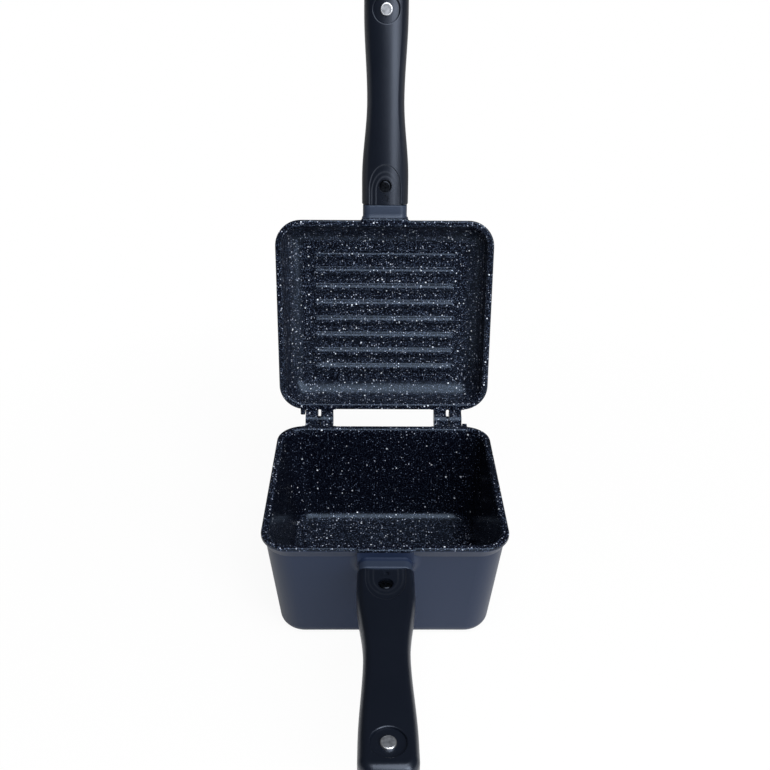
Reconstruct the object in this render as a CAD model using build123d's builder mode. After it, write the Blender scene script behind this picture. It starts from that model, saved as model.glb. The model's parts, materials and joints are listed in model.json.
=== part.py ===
from build123d import *
from math import atan2, cos, radians, sin, tan
import os

# Double sided flip pan: a deep cast base and a shallow cast lid of the same outline,
# hinged together at the back. Each half has a phenolic handle with a disc magnet.
# Millimetres, +Z up. The origin is the centre of the base's foot, the base handle
# points along -Y and the hinge pins lie at +Y. The lid stands open on its stops.

# Rim and walls, the same on both castings
rim_width = 176.0
rim_length = 160.0
rim_corner = 21.0
rim_land = 5.2
rim_outer_radius = 1.3
rim_inner_radius = 2.0
bead_face = 2.8
bead_taper = 6.5
bead_overhang = 2.2
wall_corner = 19.5
wall_draft = 5.1
wall_thickness = 3.2

# Base casting
base_height = 90.0
base_floor = 4.0
base_foot_radius = 8.8
base_floor_radius = 8.0

# Lid casting, with the ribs across its floor
lid_height = 23.5
lid_floor = 3.5
lid_crown_radius = 12.0
lid_floor_radius = 15.0
rib_count = 8
rib_end_margin = 29.5
rib_row_margin = 31.2
rib_width = 2.8
rib_height = 2.0
rib_corner = 0.9
rib_edge_radius = 0.8

# Hinges: two lugs side by side at each, one of each casting, on one pin. Beside each
# lug stands a stop block, which the shoulder of the partner's lug rests on.
hinge_reach = 9.2
hinge_inset = 33.4
lug_width = 10.3
lug_gap = 2.7
lug_radius = 5.8
lug_root_depth = 14.0
pad_reach = 1.5
pad_radius = 1.2
lug_corner_radius = 1.0
boss_radius = 3.3
boss_clearance = 0.3
pin_radius = 2.5
pin_clearance = 0.05
pin_chamfer = 0.4
opening_angle = 100.5
stop_clearance = 0.15
stop_depth = 7.4
rim_gap = 0.3
nub_gap = 0.6
nub_width = 3.8
nub_length = 5.2
nub_depth = 5.0
nub_radius = 1.4

# Boss on the rim, with the collar and the tongue that carry each handle
base_root_width = 39.0
lid_root_width = 36.8
collar_step = 0.7
collar_length = 11.0
collar_depth = 6.8
collar_thickness = 13.5
collar_corner = 6.0
collar_root_radius = 6.5
collar_edge_radius = 0.8
boss_reach = 1.5
boss_root_radius = 1.4
tongue_width = 16.0
tongue_thickness = 6.0
tongue_depth = 5.6
tongue_length = 28.0
tongue_corner = 4.0
tongue_clearance = 0.2

# Phenolic handles: depth is measured outwards from the face that meets its twin,
# distance from the root and setback from the tip
handle_gap = 0.3
handle_length = 161.8
handle_root_thickness = 13.5
handle_root_radius = 1.4
shoulder_distance = 20.0
shoulder_thickness = 16.5
waist_distance = 80.5
waist_width = 28.8
waist_thickness = 15.2
grip_setback = 19.8
grip_width = 33.4
grip_thickness = 18.0
tip_thickness = 12.5
tip_depth = 2.0
tip_corner = 8.5
handle_face_radius = 5.0
handle_back_radius = 5.5
arch_insets = (6.0, 7.8, 11.2)
arch_lengths = (31.6, 26.2, 22.5)
arch_depths = (0.9, 1.2, 1.5)
arch_rise_ratio = 1.5
arch_edge_radius = 0.7
dimple_distance = 5.2
dimple_radius = 2.6
dimple_depth = 2.6

# Handle screws and magnets
screw_distance = 14.9
screw_head_radius = 4.3
screw_head_height = 2.4
screw_head_round = 1.2
screw_seat = 4.1
screw_hole_clearance = 1.0
screw_shank_radius = 2.4
screw_shank_length = 9.0
screw_clearance = 0.4
screw_end_clearance = 1.0
thread_clearance = 0.03
cross_length = 4.6
cross_width = 1.0
cross_depth = 1.3
magnet_setback = 17.6
magnet_radius = 4.6
magnet_thickness = 3.4
magnet_clearance = 0.05
magnet_edge_radius = 0.7
dish_radius = 10.0
dish_depth = 1.5
dish_edge_radius = 0.8

# Frames. In each half's frame x runs across the pan, y towards the handle and z
# outwards from the rim plane, which is down on the base.
draft_slope = tan(radians(wall_draft))
hinge_distance = rim_length / 2 + hinge_reach
hinge_offset = rim_width / 2 - hinge_inset
hinge_axis_point = Vector(0, hinge_distance, base_height + rim_gap / 2)
lid_swing = radians(opening_angle)
base_frame = Plane(origin=(0, 0, base_height), x_dir=(1, 0, 0), z_dir=(0, 0, -1))
lid_hinge_frame = Plane(
    origin=hinge_axis_point, x_dir=(-1, 0, 0), z_dir=(0, sin(lid_swing), cos(lid_swing))
)
lid_frame = Plane(
    origin=lid_hinge_frame.from_local_coords((0, hinge_distance, rim_gap / 2)),
    x_dir=lid_hinge_frame.x_dir,
    z_dir=lid_hinge_frame.z_dir,
)


def side_plane(frame, x, y=0.0, z=0.0):
    """Plane of a side view of the frame: its x runs along y, its y along z."""
    origin = frame.from_local_coords((x, y, z))
    return Plane(origin=origin, x_dir=frame.y_dir, z_dir=frame.x_dir)


def hinge_plane(frame, x):
    """Side view centred on the hinge axis, with its x towards the pan's rim."""
    return side_plane(frame, x, -hinge_distance, -rim_gap / 2)


def mating_plane(frame):
    """Face of the handle: x across, y towards the tip, z out through the handle."""
    lean = atan2(collar_depth - tip_depth, handle_length)
    origin = frame.from_local_coords((0, rim_length / 2 + collar_length, collar_depth))
    normal = frame.z_dir * cos(lean) + frame.y_dir * sin(lean)
    return Plane(origin=origin, x_dir=frame.x_dir, z_dir=normal)


def outer_size(depth):
    """Width and length of the drafted wall's outside at a depth from the rim."""
    inset = 2 * (bead_overhang + depth * draft_slope)
    return rim_width - inset, rim_length - inset


def make_walls(frame, height, edge_radius):
    """Outside of a casting: drafted walls that end in a rounded edge."""
    with BuildPart() as walls:
        for depth in (0, height):
            with BuildSketch(frame.offset(depth)):
                RectangleRounded(*outer_size(depth), wall_corner)
        loft()
        outer_face = walls.faces().sort_by(Axis(frame.origin, frame.z_dir))[-1]
        fillet(outer_face.edges(), edge_radius)
    return walls.part


def make_cavity(frame, inner_depth, floor_radius):
    """Space inside a casting, from the rim's inner edge to the floor."""
    floor_width, floor_length = outer_size(inner_depth)
    with BuildPart() as cavity:
        with BuildSketch(frame):
            RectangleRounded(
                rim_width - 2 * rim_land, rim_length - 2 * rim_land, rim_corner - rim_land
            )
        with BuildSketch(frame.offset(inner_depth)):
            RectangleRounded(
                floor_width - 2 * wall_thickness,
                floor_length - 2 * wall_thickness,
                wall_corner - wall_thickness,
            )
        loft()
        floor_face = cavity.faces().sort_by(Axis(frame.origin, frame.z_dir))[-1]
        fillet(floor_face.edges(), floor_radius)
    return cavity.part


def make_tongue(mating):
    """Tongue that the handle slides over, bored for the screw."""
    with BuildPart() as tongue:
        with BuildSketch(Plane(mating.origin, x_dir=mating.x_dir, z_dir=mating.y_dir)):
            with Locations((0, -tongue_depth - tongue_thickness / 2)):
                Rectangle(tongue_width, tongue_thickness)
        extrude(amount=tongue_length)
        ends = tongue.edges().filter_by(Axis(mating.origin, mating.z_dir))
        fillet(ends.sort_by(Axis(mating.origin, mating.y_dir))[-2:], tongue_corner)
        with BuildSketch(mating):
            with Locations((0, screw_distance)):
                Circle(screw_shank_radius + thread_clearance)
        extrude(amount=collar_thickness, mode=Mode.SUBTRACT)
    return tongue.part


def make_lug(frame, x):
    """Hinge lug: knuckle with a square stop shoulder, arm and gusset."""
    root = hinge_reach + rim_land
    with BuildPart() as lug:
        with BuildSketch(hinge_plane(frame, x)):
            Circle(lug_radius)
            with Locations((-lug_radius / 2, -lug_radius / 2)):
                Rectangle(lug_radius, lug_radius)
            Polygon(
                (0, rim_gap), (root, rim_gap), (root, lug_root_depth), (0, lug_radius), align=None
            )
        extrude(amount=lug_width)
        shoulder = lug.edges().filter_by(Axis(frame.origin, frame.x_dir))
        corner = hinge_plane(frame, x).from_local_coords((-lug_radius, -lug_radius, 0))
        fillet(shoulder.sort_by_distance(corner)[0], lug_corner_radius)
    return lug.part


def make_boss(frame, x):
    """Boss and shoulder on a lug's flank, which fill the gap to the partner's lug."""
    with BuildPart() as boss:
        with BuildSketch(hinge_plane(frame, x)):
            Circle(boss_radius)
            with Locations((-lug_radius / 2, -lug_radius / 2)):
                Rectangle(lug_radius, lug_radius)
            Circle(pin_radius, mode=Mode.SUBTRACT)
        extrude(amount=-(lug_gap - boss_clearance))
    return boss.part


def make_stop(frame, x):
    """Block on the rim that the partner's shoulder rests on when the pan is open."""
    root = hinge_reach + rim_land

    def face_reach(depth):
        """Distance from the pin to the stop's face, which leans with the opening."""
        return (lug_radius + stop_clearance - depth * cos(lid_swing)) / sin(lid_swing)

    with BuildPart() as stop:
        with BuildSketch(hinge_plane(frame, x)):
            Polygon(
                (face_reach(rim_gap), rim_gap),
                (root, rim_gap),
                (root, stop_depth),
                (face_reach(stop_depth), stop_depth),
                align=None,
            )
        extrude(amount=lug_width)
    return stop.part


def make_nub(frame):
    """Small cast nub beside the outer hinge lug."""
    nub_x = hinge_offset + lug_gap / 2 + lug_width + nub_gap + nub_width / 2
    with BuildPart() as nub:
        with BuildSketch(frame.offset(rim_gap)):
            with Locations((nub_x, -rim_length / 2)):
                Rectangle(nub_width, 2 * nub_length)
        extrude(amount=nub_depth)
        end_face = nub.faces().sort_by(Axis(frame.origin, frame.y_dir))[0]
        fillet(end_face.edges(), nub_radius)
    return nub.part


def make_hinge_pad(frame, x):
    """Low pad on the bead that a lug and a stop block grow from, with rounded corners."""
    pitch = lug_width + lug_gap
    with BuildPart() as pad:
        with BuildSketch(frame.offset(rim_gap)) as plan:
            with Locations((x, -(rim_length - rim_land) / 2)):
                Rectangle(2 * pitch + 2 * pad_radius, rim_land)
            with Locations((x - pitch / 2, -rim_length / 2), (x + pitch / 2, -rim_length / 2)):
                Rectangle(lug_width, 2 * pad_reach)
            corners = plan.vertices().group_by(Axis.Y)[1]
            fillet(corners.sort_by(Axis.X)[1:-1], pad_radius)
        extrude(amount=bead_face - rim_gap)
    return pad.part


def make_rim(frame, root_width):
    """Rim bead with its taper into the wall, and the boss in front of the collar."""
    bead_depth = bead_face + bead_taper
    with BuildPart() as rim:
        with BuildSketch(frame) as outline:
            RectangleRounded(rim_width, rim_length, rim_corner)
            with Locations((0, rim_length / 2)):
                Rectangle(root_width, 2 * boss_reach)
            corners = outline.vertices().group_by(Axis.Y)[-2]
            fillet(corners.sort_by(Axis.X)[1:-1], boss_root_radius)
        extrude(amount=bead_face)
        rim_top = rim.faces().sort_by(Axis(frame.origin, frame.z_dir))[0]
        fillet(rim_top.edges(), rim_outer_radius)
        with BuildSketch(frame.offset(bead_face)):
            RectangleRounded(rim_width, rim_length, rim_corner)
        with BuildSketch(frame.offset(bead_depth)):
            RectangleRounded(*outer_size(bead_depth), wall_corner)
        loft()
        with BuildSketch(frame.offset(bead_face)):
            with Locations((0, (rim_length + boss_reach - rim_land) / 2)):
                Rectangle(root_width, rim_land + boss_reach)
        extrude(amount=collar_depth + collar_corner - bead_face)
    return rim.part


def make_pan(frame, height, floor, edge_radius, floor_radius, root_width, pin_hole):
    """One casting, complete but for what only the lid has."""
    cavity = make_cavity(frame, height - floor, floor_radius)
    mating = mating_plane(frame)
    joint = Plane(origin=mating.origin, x_dir=mating.x_dir, z_dir=-mating.y_dir)
    with BuildPart() as pan:
        add(make_walls(frame, height, edge_radius))
        with BuildSketch(joint):
            with Locations((0, collar_thickness / 2)):
                RectangleRounded(
                    root_width - 2 * collar_step, collar_thickness, collar_corner
                )
        extrude(amount=collar_length + 2 * rim_land)
        fillet(pan.edges(Select.NEW), collar_root_radius)
        joint_face = pan.faces().sort_by(Axis(mating.origin, mating.y_dir))[-1]
        fillet(joint_face.edges(), collar_edge_radius)
        add(make_rim(frame, root_width))
        add(make_tongue(mating))
        for hinge_x in (-hinge_offset, hinge_offset):
            add(make_hinge_pad(frame, hinge_x))
            add(make_lug(frame, hinge_x + lug_gap / 2))
            add(make_stop(frame, hinge_x - lug_gap / 2 - lug_width))
            with BuildSketch(hinge_plane(frame, hinge_x)):
                Circle(pin_hole)
            extrude(amount=lug_gap + lug_width, both=True, mode=Mode.SUBTRACT)
        add(make_nub(frame))
        add(cavity, mode=Mode.SUBTRACT)
        outward = Axis(frame.origin, frame.z_dir)
        rim_faces = pan.faces().filter_by_position(outward, -rim_gap / 2, rim_gap / 2)
        rim_ring = rim_faces.sort_by(SortBy.AREA)[-1]
        fillet(rim_ring.inner_wires()[0].edges(), rim_inner_radius)
    return pan.part


def make_handle(mating, root_width):
    """Moulded handle half: waisted outline, curved back, recesses and socket."""
    grip_distance = handle_length - grip_setback
    magnet_distance = handle_length - magnet_setback
    outward = Axis(mating.origin, mating.z_dir)
    along = Axis(mating.origin, mating.y_dir)
    with BuildPart() as handle:
        with BuildSketch(mating) as outline:
            with BuildLine():
                Line((0, handle_gap), (root_width / 2, handle_gap))
                Line((root_width / 2, handle_gap), (root_width / 2, shoulder_distance))
                Spline(
                    (root_width / 2, shoulder_distance),
                    (waist_width / 2, waist_distance),
                    tangents=[(0, 1), (0, 1)],
                )
                Spline(
                    (waist_width / 2, waist_distance),
                    (grip_width / 2, grip_distance),
                    tangents=[(0, 1), (0, 1)],
                )
                Line((grip_width / 2, grip_distance), (grip_width / 2, handle_length))
                Line((grip_width / 2, handle_length), (0, handle_length))
                mirror(about=Plane.YZ)
            make_face()
            fillet(outline.vertices().sort_by(Axis.Y)[-2:], tip_corner)
        extrude(amount=2 * grip_thickness)
        with BuildSketch(side_plane(mating, 0)):
            with BuildLine():
                Line((0, handle_root_thickness), (0, 0))
                Line((0, 0), (handle_length, 0))
                Line((handle_length, 0), (handle_length, tip_thickness))
                Spline(
                    (handle_length, tip_thickness),
                    (grip_distance, grip_thickness),
                    (waist_distance, waist_thickness),
                    (shoulder_distance, shoulder_thickness),
                    (0, handle_root_thickness),
                )
            make_face()
        extrude(amount=root_width, both=True, mode=Mode.INTERSECT)
        face = handle.faces().sort_by(outward)[0]
        fillet(face.edges().sort_by(along)[1:], handle_face_radius)
        back = handle.faces().filter_by(GeomType.PLANE, reverse=True).sort_by(SortBy.AREA)[-1]
        fillet(back.edges().sort_by(along)[1:], handle_back_radius)
        root = handle.faces().sort_by(along)[0]
        fillet(root.edges(), handle_root_radius)
        for inset, length, depth in zip(arch_insets, arch_lengths, arch_depths):
            half_width = root_width / 2 - inset
            rise = arch_rise_ratio * half_width
            rise_start = length - rise
            with BuildSketch(mating):
                with BuildLine():
                    Line((half_width, rise_start), (half_width, 0))
                    Line((half_width, 0), (-half_width, 0))
                    Line((-half_width, 0), (-half_width, rise_start))
                    EllipticalCenterArc(
                        (0, rise_start), half_width, rise, start_angle=0, arc_size=180
                    )
                make_face()
            extrude(amount=depth, mode=Mode.SUBTRACT)
        face_edges = handle.edges().filter_by_position(
            outward, -arch_edge_radius / 2, arch_edge_radius / 2
        )
        arch = face_edges.filter_by_position(along, handle_root_radius, arch_lengths[0])
        fillet(arch.sort_by(SortBy.LENGTH)[-3:], arch_edge_radius)
        with BuildSketch(mating):
            with Locations((0, magnet_distance)):
                Circle(dish_radius)
        extrude(amount=dish_depth, mode=Mode.SUBTRACT)
        fillet(handle.edges(Select.LAST).sort_by(outward)[0], dish_edge_radius)
        for centre, radius, depth in (
            (dimple_distance, dimple_radius, dimple_depth),
            (screw_distance, screw_head_radius + screw_hole_clearance, screw_seat),
            (
                screw_distance,
                screw_shank_radius + screw_clearance,
                screw_seat + screw_shank_length + screw_end_clearance,
            ),
            (magnet_distance, magnet_radius + magnet_clearance, magnet_thickness),
        ):
            with BuildSketch(mating):
                with Locations((0, centre)):
                    Circle(radius)
            extrude(amount=depth, mode=Mode.SUBTRACT)
        with BuildSketch(mating.offset(tongue_depth - tongue_clearance)):
            with Locations((0, tongue_length / 2)):
                Rectangle(
                    tongue_width + 2 * tongue_clearance, tongue_length + 2 * tongue_clearance
                )
        extrude(amount=tongue_thickness + 2 * tongue_clearance, mode=Mode.SUBTRACT)
    return handle


def make_screw(mating):
    """Domed cross-head screw, seated in the handle and threaded through the tongue."""
    seat = mating.offset(screw_seat)
    with BuildPart() as screw:
        with BuildSketch(seat):
            with Locations((0, screw_distance)):
                Circle(screw_head_radius)
        extrude(amount=-screw_head_height)
        head_face = screw.faces().sort_by(Axis(mating.origin, mating.z_dir))[0]
        fillet(head_face.edges(), screw_head_round)
        with BuildSketch(seat):
            with Locations((0, screw_distance)):
                Circle(screw_shank_radius)
        extrude(amount=screw_shank_length)
        with BuildSketch(seat.offset(-screw_head_height)):
            with Locations((0, screw_distance)):
                Rectangle(cross_length, cross_width)
                Rectangle(cross_width, cross_length)
        extrude(amount=cross_depth, mode=Mode.SUBTRACT)
    return screw


def make_magnet(mating):
    """Disc magnet in its pocket, its face level with the handle's around the dish."""
    with BuildPart() as magnet:
        with BuildSketch(mating):
            with Locations((0, handle_length - magnet_setback)):
                Circle(magnet_radius)
        extrude(amount=magnet_thickness)
        face = magnet.faces().sort_by(Axis(mating.origin, mating.z_dir))[0]
        fillet(face.edges(), magnet_edge_radius)
    return magnet


def make_pin(centre_x):
    """Hinge pin, flush with the outer flanks of its two lugs."""
    with BuildPart() as pin:
        with BuildSketch(hinge_plane(base_frame, centre_x)):
            Circle(pin_radius)
        extrude(amount=lug_gap / 2 + lug_width, both=True)
        chamfer(pin.edges().group_by(Axis.X)[0] + pin.edges().group_by(Axis.X)[-1], pin_chamfer)
    return pin


with BuildPart() as ribs:
    rib_pitch = (rim_length - 2 * rib_row_margin) / (rib_count - 1)
    with BuildSketch(lid_frame.offset(lid_height - lid_floor)):
        with GridLocations(0, rib_pitch, 1, rib_count):
            RectangleRounded(rim_width - 2 * rib_end_margin, rib_width, rib_corner)
    extrude(amount=-rib_height)
    rib_tops = ribs.faces().group_by(Axis(lid_frame.origin, lid_frame.z_dir))[0]
    fillet(rib_tops.edges(), rib_edge_radius)

with BuildPart() as base_pan:
    add(
        make_pan(
            base_frame,
            base_height,
            base_floor,
            base_foot_radius,
            base_floor_radius,
            base_root_width,
            pin_radius + pin_clearance,
        )
    )

with BuildPart() as lid_pan:
    add(
        make_pan(
            lid_frame,
            lid_height,
            lid_floor,
            lid_crown_radius,
            lid_floor_radius,
            lid_root_width,
            pin_radius,
        )
    )
    add(ribs.part)
    for hinge_x in (-hinge_offset, hinge_offset):
        add(make_boss(lid_frame, hinge_x + lug_gap / 2))

pieces = {"base_pan": base_pan, "lid_pan": lid_pan}
for half, frame, root_width in (
    ("base", base_frame, base_root_width),
    ("lid", lid_frame, lid_root_width),
):
    mating = mating_plane(frame)
    pieces[half + "_handle"] = make_handle(mating, root_width)
    pieces[half + "_handle_screw"] = make_screw(mating)
    pieces[half + "_magnet"] = make_magnet(mating)
pieces["left_hinge_pin"] = make_pin(-hinge_offset)
pieces["right_hinge_pin"] = make_pin(hinge_offset)

os.makedirs("parts", exist_ok=True)
for name, piece in pieces.items():
    piece.part.label = name
    export_step(piece.part, f"parts/{name}.step")
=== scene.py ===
import json
import math
import bpy
import numpy as np
from mathutils import Matrix, Vector


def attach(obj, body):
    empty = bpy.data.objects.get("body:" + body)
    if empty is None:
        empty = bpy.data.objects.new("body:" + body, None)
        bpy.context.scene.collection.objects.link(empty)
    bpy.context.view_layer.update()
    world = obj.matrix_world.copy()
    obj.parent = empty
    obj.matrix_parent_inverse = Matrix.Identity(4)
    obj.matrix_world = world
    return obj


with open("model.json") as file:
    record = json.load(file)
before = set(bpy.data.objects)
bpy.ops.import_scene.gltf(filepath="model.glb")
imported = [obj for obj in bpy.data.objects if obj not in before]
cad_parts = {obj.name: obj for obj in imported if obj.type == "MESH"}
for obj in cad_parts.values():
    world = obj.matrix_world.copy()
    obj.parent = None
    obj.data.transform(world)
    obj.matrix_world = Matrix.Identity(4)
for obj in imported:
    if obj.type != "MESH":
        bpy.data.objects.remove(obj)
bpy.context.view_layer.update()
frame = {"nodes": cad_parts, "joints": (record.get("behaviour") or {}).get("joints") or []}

# ---------------------------------------------------------------- camera
# The viewer stands in front of the base's handle, a little left of the middle, and
# looks down into the open pan. The lens is given by its focal length in pixels of
# the square frame.
FRAME_PIXELS = 770
FOCAL_PIXELS = 878.7
LOOK_DOWN = 0.5104551707
LOOK_RIGHT = 0.0149183942
CAMERA_TILT = 0.0108873332
CAMERA_PLACE = Vector((-0.00864, -0.55201, 0.48347))


def aim_camera(place, look_down, look_right, tilt):
    """World matrix from the three angles: pitch, then heading, then roll about the view."""
    heading = Matrix.Rotation(-look_right, 3, "Z")
    forward = heading @ Vector((0, math.cos(look_down), -math.sin(look_down)))
    level = heading @ Vector((1, 0, 0))
    upright = heading @ Vector((0, math.sin(look_down), math.cos(look_down)))
    right = level * math.cos(tilt) + upright * math.sin(tilt)
    up = upright * math.cos(tilt) - level * math.sin(tilt)
    turn = Matrix((right, up, -forward)).transposed()
    return Matrix.Translation(place) @ turn.to_4x4()


lens = bpy.data.cameras.new("viewer")
lens.sensor_fit = "HORIZONTAL"
lens.sensor_width = 36.0
lens.lens = lens.sensor_width * FOCAL_PIXELS / FRAME_PIXELS
lens.clip_start = 0.01
lens.clip_end = 60.0
viewer = bpy.data.objects.new("viewer", lens)
bpy.context.scene.collection.objects.link(viewer)
viewer.matrix_world = aim_camera(CAMERA_PLACE, LOOK_DOWN, LOOK_RIGHT, CAMERA_TILT)
bpy.context.scene.camera = viewer

# ---------------------------------------------------------------- castings
# Base and lid are aluminium castings. Outside they are sprayed with a matte slate
# paint; inside, over the rim's top and on the hinge lugs they carry a black
# non-stick coating with pale stone specks of several sizes.


class Flow:
    """A shader socket. Arithmetic on it adds Math nodes; node() adds any other."""

    def __init__(self, tree, socket=None):
        self.tree = tree
        self.socket = socket

    def node(self, kind, settings=None, inputs=None, output=0):
        """Adds a node: its settings first, then the values or links of its sockets."""
        made = self.tree.nodes.new(kind)
        for name, value in (settings or {}).items():
            setattr(made, name, value)
        for name, value in (inputs or {}).items():
            if isinstance(value, Flow):
                self.tree.links.new(value.socket, made.inputs[name])
            else:
                made.inputs[name].default_value = value
        return Flow(self.tree, made.outputs[output])

    def other(self, output):
        """Another output of the node that this socket belongs to."""
        return Flow(self.tree, self.socket.node.outputs[output])

    def math(self, operation, *others):
        values = dict(enumerate((self, *others)))
        return self.node("ShaderNodeMath", {"operation": operation}, values)

    def __add__(self, other):
        if isinstance(other, tuple):
            values = {0: self, 1: other}
            return self.node("ShaderNodeVectorMath", {"operation": "ADD"}, values)
        return self.math("ADD", other)

    __radd__ = __add__

    def __mul__(self, other):
        return self.math("MULTIPLY", other)

    __rmul__ = __mul__

    def __sub__(self, other):
        return self.math("SUBTRACT", other)

    def __rsub__(self, other):
        values = {0: other, 1: self}
        return self.node("ShaderNodeMath", {"operation": "SUBTRACT"}, values)

    def clamp(self):
        return self.node("ShaderNodeClamp", inputs={"Value": self})

    def below(self, limit, softness):
        """1 where the value is under the limit, 0 over it, with a soft step between."""
        return ((limit - self) * (1.0 / softness) + 0.5).clamp()

    def dot(self, vector):
        settings = {"operation": "DOT_PRODUCT"}
        return self.node("ShaderNodeVectorMath", settings, {0: self, 1: vector}, "Value")

    def length(self):
        settings = {"operation": "LENGTH"}
        return self.node("ShaderNodeVectorMath", settings, {0: self}, "Value")

    def bumped(self, normal=None, **values):
        """Normal of a Bump node with this flow as its height."""
        inputs = {"Height": self, **values}
        if normal is not None:
            inputs["Normal"] = normal
        return self.node("ShaderNodeBump", inputs=inputs, output="Normal")

    def mix(self, first, second):
        """Colour that goes from first to second as this factor goes from 0 to 1."""
        ends = [(*end, 1.0) if isinstance(end, tuple) else end for end in (first, second)]
        inputs = {0: self, 6: ends[0], 7: ends[1]}
        return self.node("ShaderNodeMix", {"data_type": "RGBA"}, inputs, 2)


def new_finish(name, constants):
    """Material with one Principled shader whose constant sockets are set by name."""
    material = bpy.data.materials.new(name)
    material.use_nodes = True
    tree = material.node_tree
    shader = tree.nodes["Principled BSDF"]
    for socket, value in constants.items():
        shader.inputs[socket].default_value = value
    place = Flow(tree).node("ShaderNodeTexCoord", output="Object")
    return material, shader, place


def feed(shader, **links):
    for socket, flow in links.items():
        flow.tree.links.new(flow.socket, shader.inputs[socket.replace("_", " ")])


def noise(place, size, detail=2.0):
    inputs = {"Vector": place, "Scale": 1.0 / size, "Detail": detail}
    return place.node("ShaderNodeTexNoise", inputs=inputs)


SPECK_EDGE = 0.00014
SPECK_GROWTH = 5.0
SPECK_LEAST = 0.4


def specks(place, spacing, radius, share):
    """Paleness of round dots: one random number per cell leaves the dot out or sets
    its radius, another sets how pale it is. share can vary over the surface."""
    cells = {"Vector": place, "Scale": 1.0 / spacing}
    distance = place.node("ShaderNodeTexVoronoi", inputs=cells, output="Distance")
    colour = {"Color": distance.other("Color")}
    chance = place.node("ShaderNodeSeparateColor", inputs=colour, output="Red")
    size = ((chance + share - 1.0) * SPECK_GROWTH).math("MINIMUM", 1.0)
    dot = ((size * (radius / spacing) - distance) * (spacing / SPECK_EDGE) + 0.5).clamp()
    return dot * (chance.other("Green") * (1.0 - SPECK_LEAST) + SPECK_LEAST)


RIM_HEIGHT = 0.090
RIM_WIDTH = 0.176
RIM_LENGTH = 0.160
WALL_MIDDLE = 0.0038
WALL_SLOPE = math.tan(math.radians(5.1))
WALL_CORNER = 0.018
COATED_EDGE = 0.0023
MASK_STEP = 0.0002
LUGS_FROM = -RIM_LENGTH / 2 - 0.0012
LID_DEPTH = 0.020
SLATE = (0.0076, 0.0138, 0.0355)
SLATE_LIGHT = (0.0092, 0.0160, 0.0395)
SLATE_PAINTED_HIGHLIGHT = (0.0240, 0.0335, 0.0580)
BLACK_COAT = (0.0012, 0.0015, 0.0040)
DUST = (0.018, 0.026, 0.047)
WHITE_STONE = (0.78, 0.85, 0.96)
PALE_STONE = (0.50, 0.56, 0.70)
GREY_STONE = (0.12, 0.155, 0.24)
COAT_ROUGHNESS = 0.195
HOLLOW_ROUGHNESS = 6.0
WALL_FADE = 0.004
DUST_CONTRAST = 9.0
DUST_START = 4.9
PAINT_ROUGHNESS = 0.40
PAINT_SATIN = 0.26
PEEL_SIZE = 0.0016

hinge = frame["joints"][0]
opening = math.radians(hinge["range_deg"][1])
hinge_point = Vector(hinge["pos_m"])
lid_along = Vector((0, -math.cos(opening), math.sin(opening)))
lid_out = Vector((0, math.sin(opening), math.cos(opening)))
hinge_reach = hinge_point.y
half_gap = hinge_point.z - RIM_HEIGHT
base_axes = (Vector((0, 0, RIM_HEIGHT)), Vector((0, -1, 0)), Vector((0, 0, -1)))
lid_axes = (hinge_point + lid_along * hinge_reach + lid_out * half_gap, lid_along, lid_out)


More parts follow.
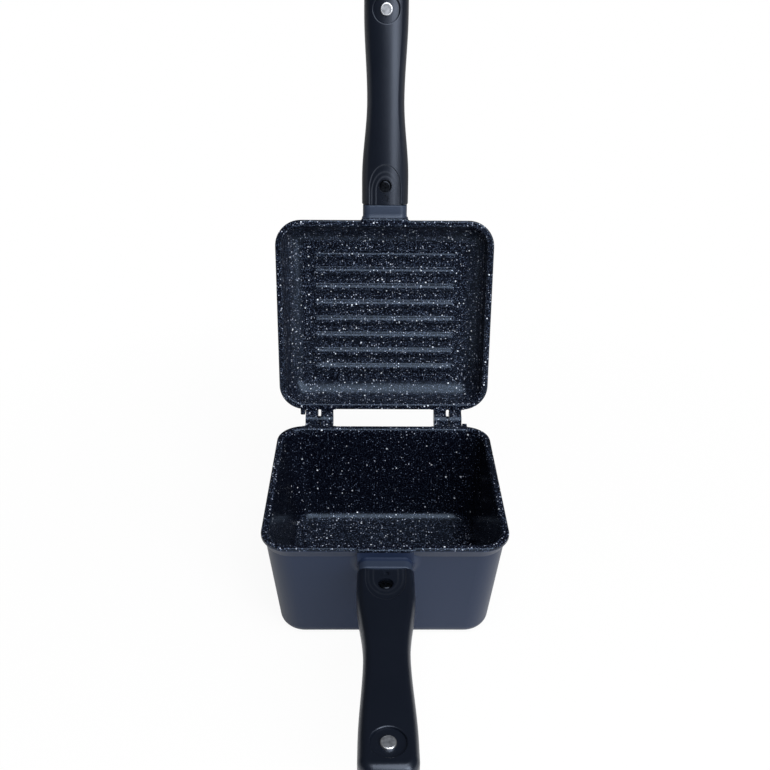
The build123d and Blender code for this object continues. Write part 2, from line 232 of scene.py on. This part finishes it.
def cast_finish(name, axes, inner_depth, floor, bend, shaded_wall_cover, grain, collar_highlight_from):
    """Paint and coating, told apart by a rounded box that runs in the wall's middle.

    The distance to that box is the length of the positive parts of (|x| - half width,
    |y| - half length), less the corner radius, where both halves shrink with depth.
    Near the floor the box draws in by bend - sqrt(bend^2 - past^2), a quarter circle,
    where past is how much deeper the point lies than the start of that bend.
    The specks and dust are thinned on the walls to the share given for them, which is
    painted shade on the walls; grain scales the specks. In the bend the coat is rougher.
    On the handle's collar, past the rim by the last argument, the paint is painted paler,
    a painted highlight for the light the collar catches.
    """
    origin, along, outward = axes
    constants = {"IOR": 1.35, "Specular Tint": (0.57, 0.75, 1.0, 1.0), "Coat Roughness": 0.42}
    material, shader, place = new_finish(name, constants)
    across = place.dot((1, 0, 0)).math("ABSOLUTE")
    lengthwise = place.dot(along) - along.dot(origin)
    depth = place.dot(outward) - outward.dot(origin)
    taper = depth * WALL_SLOPE
    side = across - (RIM_WIDTH / 2 - WALL_MIDDLE - WALL_CORNER) + taper
    end = lengthwise.math("ABSOLUTE") - (RIM_LENGTH / 2 - WALL_MIDDLE - WALL_CORNER) + taper
    side_out = side.math("MAXIMUM", 0.0)
    end_out = end.math("MAXIMUM", 0.0)
    corner = (side_out * side_out + end_out * end_out).math("SQRT") - WALL_CORNER
    middle = inner_depth + floor / 2
    past = (depth - (middle - bend)).math("MAXIMUM", 0.0)
    drawn_in = bend - (bend * bend - past * past).math("MAXIMUM", 0.0).math("SQRT")
    inside = (corner + drawn_in).below(0.0, MASK_STEP) * depth.below(middle, MASK_STEP)
    overspray = noise(place, 0.004) * 0.0008 - 0.0004
    rim_top = (depth + overspray).below(COATED_EDGE, 0.0003)
    lugs = lengthwise.below(LUGS_FROM, 0.0004)
    coated = inside.math("MAXIMUM", rim_top).math("MAXIMUM", lugs)

    cloud = noise(place, 0.05)
    paint = cloud.mix(SLATE, SLATE_LIGHT)
    # The collar's paint is painted paler: a painted highlight for the light the collar
    # catches.
    collar = 1.0 - lengthwise.below(RIM_LENGTH / 2 + collar_highlight_from, 0.0008)
    paint = collar.mix(paint, SLATE_PAINTED_HIGHLIGHT)

    # Fewer specks and less dust on the walls than on the floor: painted shade on the walls.
    wall = depth.below(inner_depth - WALL_FADE, WALL_FADE)
    wall = wall * (1.0 - depth.below(WALL_FADE, WALL_FADE))
    shade_cover = 1.0 - wall * (1.0 - shaded_wall_cover)
    fine = specks(place, 0.00110 * grain, 0.00032 * grain, shade_cover * 0.75)
    shifted = place + (0.31, 0.17, 0.05)
    small = specks(shifted, 0.0019 * grain, 0.00044 * grain, shade_cover * 0.45)
    shifted = place + (0.12, 0.43, 0.21)
    large = specks(shifted, 0.0036 * grain, 0.00060 * grain, shade_cover * 0.20 + 0.18)
    dust = (noise(place, 0.0009, 1.0) * DUST_CONTRAST - DUST_START).clamp() * shade_cover
    stone = dust.mix(BLACK_COAT, DUST)
    stone = fine.mix(stone, GREY_STONE)
    stone = small.mix(stone, PALE_STONE)
    stone = large.mix(stone, WHITE_STONE)

    peel = noise(place, PEEL_SIZE, 3.0)
    hollow = (corner * -1.0).below(bend + 0.001, 0.003)
    hollow = hollow * (1.0 - depth.below(middle - bend * 0.9, WALL_FADE))
    coat_rough = peel * 0.05 + hollow * (bend * HOLLOW_ROUGHNESS) + COAT_ROUGHNESS
    paint_rough = cloud * 0.06 + PAINT_ROUGHNESS
    feed(
        shader,
        Base_Color=coated.mix(paint, stone),
        Roughness=paint_rough + coated * (coat_rough - paint_rough),
        Normal=(peel + coated * small * 0.5).bumped(Strength=0.25, Distance=0.0002),
        Coat_Weight=(1.0 - coated) * PAINT_SATIN,
    )
    return material


def dress(node, material):
    """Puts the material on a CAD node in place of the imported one."""
    for slot in frame["nodes"][node].material_slots:
        slot.material = material


base_cast = cast_finish(
    "base_cast",
    base_axes,
    inner_depth=0.086,
    floor=0.004,
    bend=0.0084,
    shaded_wall_cover=0.45,
    grain=1.18,
    collar_highlight_from=0.0042,
)
dress("base_pan", base_cast)
lid_cast = cast_finish(
    "lid_cast",
    lid_axes,
    inner_depth=LID_DEPTH,
    floor=0.0035,
    bend=0.0135,
    shaded_wall_cover=1.0,
    grain=1.0,
    collar_highlight_from=0.0008,
)
dress("lid_pan", lid_cast)

# ---------------------------------------------------------------- lid ribs
# Eight ribs cross the lid's floor and mark the food. In the casting they have broad
# soft roots, because metal and coating both need a round way up to the crest.
RIB_COUNT = 8
RIB_PITCH = 0.013943
RIB_HALF_LENGTH = 0.0566
RIB_REACH = 0.0044
RIB_CREST = 0.00240
RIB_FLATNESS = 1.35
RIB_ROOT = 1.5
RIB_SINK = 0.00003
RIB_FOOT = 0.0006
RIB_END_STEPS = 17
RIB_ROWS = 41


def rib_skin(centre):
    """Points and faces of one rib's closed skin.

    Its height over the floor is the crest times a power of the cosine of a quarter
    turn times a power of the distance to the rib's middle line over the reach. The
    inner power keeps the crest broad, the outer one shapes the root. The underside is
    flat and lies inside the casting.
    """
    turn = 0.5 - 0.5 * np.cos(np.linspace(0.0, math.pi, RIB_END_STEPS))
    run = RIB_HALF_LENGTH + RIB_REACH * turn
    x = np.concatenate([-run[::-1], run])
    row = RIB_REACH * np.linspace(-1.0, 1.0, RIB_ROWS)
    x, row = np.meshgrid(x, row, indexing="ij")
    beyond = np.maximum(np.abs(x) - RIB_HALF_LENGTH, 0.0)
    share = np.minimum(np.hypot(beyond, row) / RIB_REACH, 1.0)
    height = RIB_CREST * np.cos(share**RIB_FLATNESS * math.pi / 2) ** RIB_ROOT - RIB_SINK

    def place(x, row, height):
        origin, along, outward = (np.array(axis) for axis in lid_axes)
        side = x[..., None] * np.array([1.0, 0.0, 0.0])
        deep = (LID_DEPTH - height)[..., None] * outward
        return origin + side + (centre + row)[..., None] * along + deep

    top = place(x, row, height).reshape(-1, 3)
    index = np.arange(x.size).reshape(x.shape)
    quads = np.stack([index[:-1, :-1], index[:-1, 1:], index[1:, 1:], index[1:, :-1]], -1)
    edge = np.concatenate([index[:, 0], index[-1, 1:], index[-2::-1, -1], index[0, -2:0:-1]])
    foot_x, foot_row = x.reshape(-1)[edge], row.reshape(-1)[edge]
    under = place(foot_x, foot_row, np.full(len(edge), -RIB_FOOT))
    low = np.arange(len(edge)) + len(top)
    walls = np.stack([edge, np.roll(edge, -1), np.roll(low, -1), low], -1)
    faces = quads.reshape(-1, 4).tolist() + walls.tolist() + [low[::-1].tolist()]
    return np.concatenate([top, under]), faces


points, faces = [], []
for number in range(RIB_COUNT):
    skin, skin_faces = rib_skin((number - (RIB_COUNT - 1) / 2) * RIB_PITCH)
    start = len(points) * len(skin)
    points.append(skin)
    faces += [[corner + start for corner in face] for face in skin_faces]
rib_mesh = bpy.data.meshes.new("lid_rib_skins")
rib_mesh.from_pydata(np.concatenate(points).tolist(), [], faces)
rib_mesh.polygons.foreach_set("use_smooth", [True] * len(rib_mesh.polygons))
rib_mesh.materials.append(lid_cast)
ribs = bpy.data.objects.new("lid_rib_skins", rib_mesh)
bpy.context.scene.collection.objects.link(ribs)
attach(ribs, "lid")

# ---------------------------------------------------------------- handles
# Each handle half is moulded black phenolic: a hard plastic with a faint satin
# bloom, fine pits from the mould, a slightly crowned face, and painted highlights
# along the edges of the arched steps round the screw.
PHENOLIC = (0.0030, 0.0046, 0.0092)
PHENOLIC_BLOOM = (0.0042, 0.0060, 0.0115)
EDGE_HIGHLIGHT = (0.050, 0.058, 0.075)
PHENOLIC_ROUGHNESS = 0.27
COLLAR_LENGTH = 0.011
FACE_DEPTH = 0.0105
ARCH_INSETS = (0.0060, 0.0078, 0.0112)
ARCH_LENGTHS = (0.0316, 0.0262, 0.0225)
ARCH_RISE_RATIO = 1.5
HIGHLIGHT_REACH = 0.00045
HIGHLIGHT_STEP = 0.0004


def handle_finish(name, axes, root_width, pale_share, crown_rise):
    """Satin phenolic; its arched steps round the screw get painted highlights on their edges.

    An arch is a strip with a half ellipse on its end. The distance to its edge is
    about its half width times (the length of (across / half width, beyond / rise)
    less one), where beyond is how far the point lies past the start of the ellipse.
    The fourth argument scales the painted highlights. The face rises by crown_rise
    times across squared.
    """
    origin, along, outward = axes
    root = origin + along * (RIM_LENGTH / 2 + COLLAR_LENGTH)
    constants = {"IOR": 1.50, "Specular Tint": (0.70, 0.80, 1.0, 1.0)}
    material, shader, place = new_finish(name, constants)
    bloom = noise(place, 0.03, 3.0)
    pits = noise(place, 0.0007, 2.0)
    across = place.dot((1, 0, 0))
    length = place.dot(along) - along.dot(root)
    depth = place.dot(outward) - outward.dot(root)
    # Pale lines along the arch edges are painted highlights, full on the lid's handle and
    # weaker on the base's.
    edge_highlight = 0.0
    for inset, reach in zip(ARCH_INSETS, ARCH_LENGTHS):
        half_width = root_width / 2 - inset
        rise = ARCH_RISE_RATIO * half_width
        side = across * (1.0 / half_width)
        beyond = (length - (reach - rise)).math("MAXIMUM", 0.0) * (1.0 / rise)
        off_edge = ((side * side + beyond * beyond).math("SQRT") - 1.0) * half_width
        line = off_edge.math("ABSOLUTE").below(HIGHLIGHT_REACH, HIGHLIGHT_STEP)
        edge_highlight = line.math("MAXIMUM", edge_highlight)
    edge_highlight = edge_highlight * (bloom * 2.2 - 0.4).clamp() * depth.below(FACE_DEPTH, 0.002) * pale_share
    crown = (across * across * -crown_rise).bumped(Strength=1.0, Distance=1.0)
    feed(
        shader,
        Base_Color=edge_highlight.mix(bloom.mix(PHENOLIC, PHENOLIC_BLOOM), EDGE_HIGHLIGHT),
        Roughness=bloom * 0.06 + pits * 0.05 + PHENOLIC_ROUGHNESS,
        Normal=pits.bumped(crown, Strength=0.12, Distance=0.0001),
    )
    return material


for node, name, axes, root_width, pale_share, crown_rise in (
    ("base_handle", "base_phenolic", base_axes, 0.0390, 0.25, 3.0),
    ("lid_handle", "lid_phenolic", lid_axes, 0.0368, 1.0, 21.0),
):
    dress(node, handle_finish(name, axes, root_width, pale_share, crown_rise))

# ---------------------------------------------------------------- screws and pins
# The handle screws are blackened steel. The hinge pins are plain steel, painted
# over with the castings, with the paint thin on their ends.
screw_black, shader, place = new_finish("screw_black", {"Metallic": 1.0})
pale_share = noise(place, 0.002, 3.0)
feed(
    shader,
    Base_Color=pale_share.mix((0.008, 0.010, 0.014), (0.030, 0.035, 0.046)),
    Roughness=pale_share * 0.2 + 0.20,
)
for node in ("base_handle_screw", "lid_handle_screw"):
    dress(node, screw_black)

pin_steel, shader, place = new_finish("pin_steel", {"Metallic": 0.6})
pale_share = noise(place, 0.002, 3.0)
feed(
    shader,
    Base_Color=pale_share.mix((0.06, 0.065, 0.08), (0.16, 0.165, 0.18)),
    Roughness=pale_share * 0.2 + 0.35,
)
for node in ("left_hinge_pin", "right_hinge_pin"):
    dress(node, pin_steel)

# ---------------------------------------------------------------- magnets
# Nickel-plated disc magnets, let into a shallow round dish near each handle's tip.
# Their faces are dull from handling and from closing on each other.
NICKEL_WORN = (0.17, 0.18, 0.20)
NICKEL = (0.36, 0.38, 0.42)
NICKEL_RIM = (0.72, 0.75, 0.80)
MAGNET_FLAT = 0.0038


def nickel_finish(name, node, outward):
    """Nickel that is dull on the disc's face and bright on its rounded rim, told apart
    by the distance to the disc's axis: the length of (place - centre) cross axis."""
    corners = [Vector(corner) for corner in frame["nodes"][node].bound_box]
    centre = sum(corners, Vector()) / len(corners)
    material, shader, place = new_finish(name, {"Metallic": 1.0})
    grain = (noise(place, 0.0024, 4.0) * 2.6 - 0.8).clamp()
    arm = {0: place + tuple(-centre), 1: outward}
    cross = place.node("ShaderNodeVectorMath", {"operation": "CROSS_PRODUCT"}, arm)
    face = cross.length().below(MAGNET_FLAT, 0.0004)
    feed(
        shader,
        Base_Color=face.mix(NICKEL_RIM, grain.mix(NICKEL_WORN, NICKEL)),
        Roughness=face * (grain * 0.10 + 0.22) + 0.34,
    )
    return material


dress("base_magnet", nickel_finish("base_nickel", "base_magnet", base_axes[2]))
dress("lid_magnet", nickel_finish("lid_nickel", "lid_magnet", lid_axes[2]))

# ---------------------------------------------------------------- floor and light
# A pale floor that fades to white away from the pan, one large soft light overhead
# in front and a weaker one at the right, near the height of the open lid.
FLOOR_SIDE = 12.0
FLOOR_FRONT = -0.7
FLOOR_BACK = 16.0
FLOOR_COLOUR = (0.85, 0.85, 0.85)
FLOOR_ROUGHNESS = 0.9
SHADOW_REACH = 0.55
SHADOW_SHARE = 0.08
MIRRORED_FROM = 1.0
MIRRORED_RISE = 0.4
WORLD_LIGHT = 0.02
WORLD_MIRRORED = 0.05
WHITE = (1, 1, 1, 1)

corners = [
    (-FLOOR_SIDE, FLOOR_FRONT, 0),
    (FLOOR_SIDE, FLOOR_FRONT, 0),
    (FLOOR_SIDE, FLOOR_BACK, 0),
    (-FLOOR_SIDE, FLOOR_BACK, 0),
]
floor_mesh = bpy.data.meshes.new("floor")
floor_mesh.from_pydata(corners, [], [(0, 1, 2, 3)])
floor = bpy.data.objects.new("floor", floor_mesh)
bpy.context.scene.collection.objects.link(floor)


def background_share(flow, mirrored):
    """1 for rays of the camera and through glass, and a share for mirrored ones."""
    camera_ray = flow.node("ShaderNodeLightPath", output="Is Camera Ray")
    share = camera_ray.math("MAXIMUM", camera_ray.other("Is Glossy Ray") * mirrored)
    return share.math("MAXIMUM", camera_ray.other("Is Transmission Ray"))


constants = {"Base Color": (*FLOOR_COLOUR, 1), "Roughness": FLOOR_ROUGHNESS}
paper, shader, place = new_finish("paper", constants)
away = place.length()
mirrored = ((away - MIRRORED_FROM) * MIRRORED_RISE).clamp()
fade = (away * (1.0 / SHADOW_REACH)).clamp() * SHADOW_SHARE + (1.0 - SHADOW_SHARE)
white = place.node("ShaderNodeEmission", inputs={"Color": WHITE, "Strength": 1.0})
lit = Flow(place.tree, shader.outputs[0])
paper_mix = {0: fade * background_share(place, mirrored), 1: lit, 2: white}
surface = place.node("ShaderNodeMixShader", inputs=paper_mix)
output = paper.node_tree.nodes["Material Output"]
paper.node_tree.links.new(surface.socket, output.inputs["Surface"])
floor_mesh.materials.append(paper)

world = bpy.data.worlds.new("studio")
bpy.context.scene.world = world
world.use_nodes = True
sky = Flow(world.node_tree)
ambient = world.node_tree.nodes["Background"]
ambient.inputs["Color"].default_value = WHITE
ambient.inputs["Strength"].default_value = WORLD_LIGHT
lit = Flow(world.node_tree, ambient.outputs[0])
white = sky.node("ShaderNodeBackground", inputs={"Color": WHITE, "Strength": 1.0})
sky_mix = {0: background_share(sky, WORLD_MIRRORED), 1: lit, 2: white}
surface = sky.node("ShaderNodeMixShader", inputs=sky_mix)
output = world.node_tree.nodes["World Output"]
world.node_tree.links.new(surface.socket, output.inputs["Surface"])


def soft_light(name, place, target, width, height, power):
    lamp = bpy.data.lights.new(name, "AREA")
    lamp.shape = "RECTANGLE"
    lamp.size = width
    lamp.size_y = height
    lamp.energy = power
    holder = bpy.data.objects.new(name, lamp)
    bpy.context.scene.collection.objects.link(holder)
    aim = (Vector(target) - Vector(place)).to_track_quat("-Z", "Y")
    holder.matrix_world = Matrix.Translation(place) @ aim.to_matrix().to_4x4()


soft_light(
    "overhead",
    place=(0.40, -1.05, 1.70),
    target=(0.0, 0.0, 0.1),
    width=1.6,
    height=2.1,
    power=54.0,
)
soft_light(
    "key",
    place=(1.10, -1.45, 0.85),
    target=(0.0, 0.0, 0.12),
    width=0.8,
    height=1.3,
    power=20.0,
)

bpy.context.scene.view_settings.view_transform = "Standard"
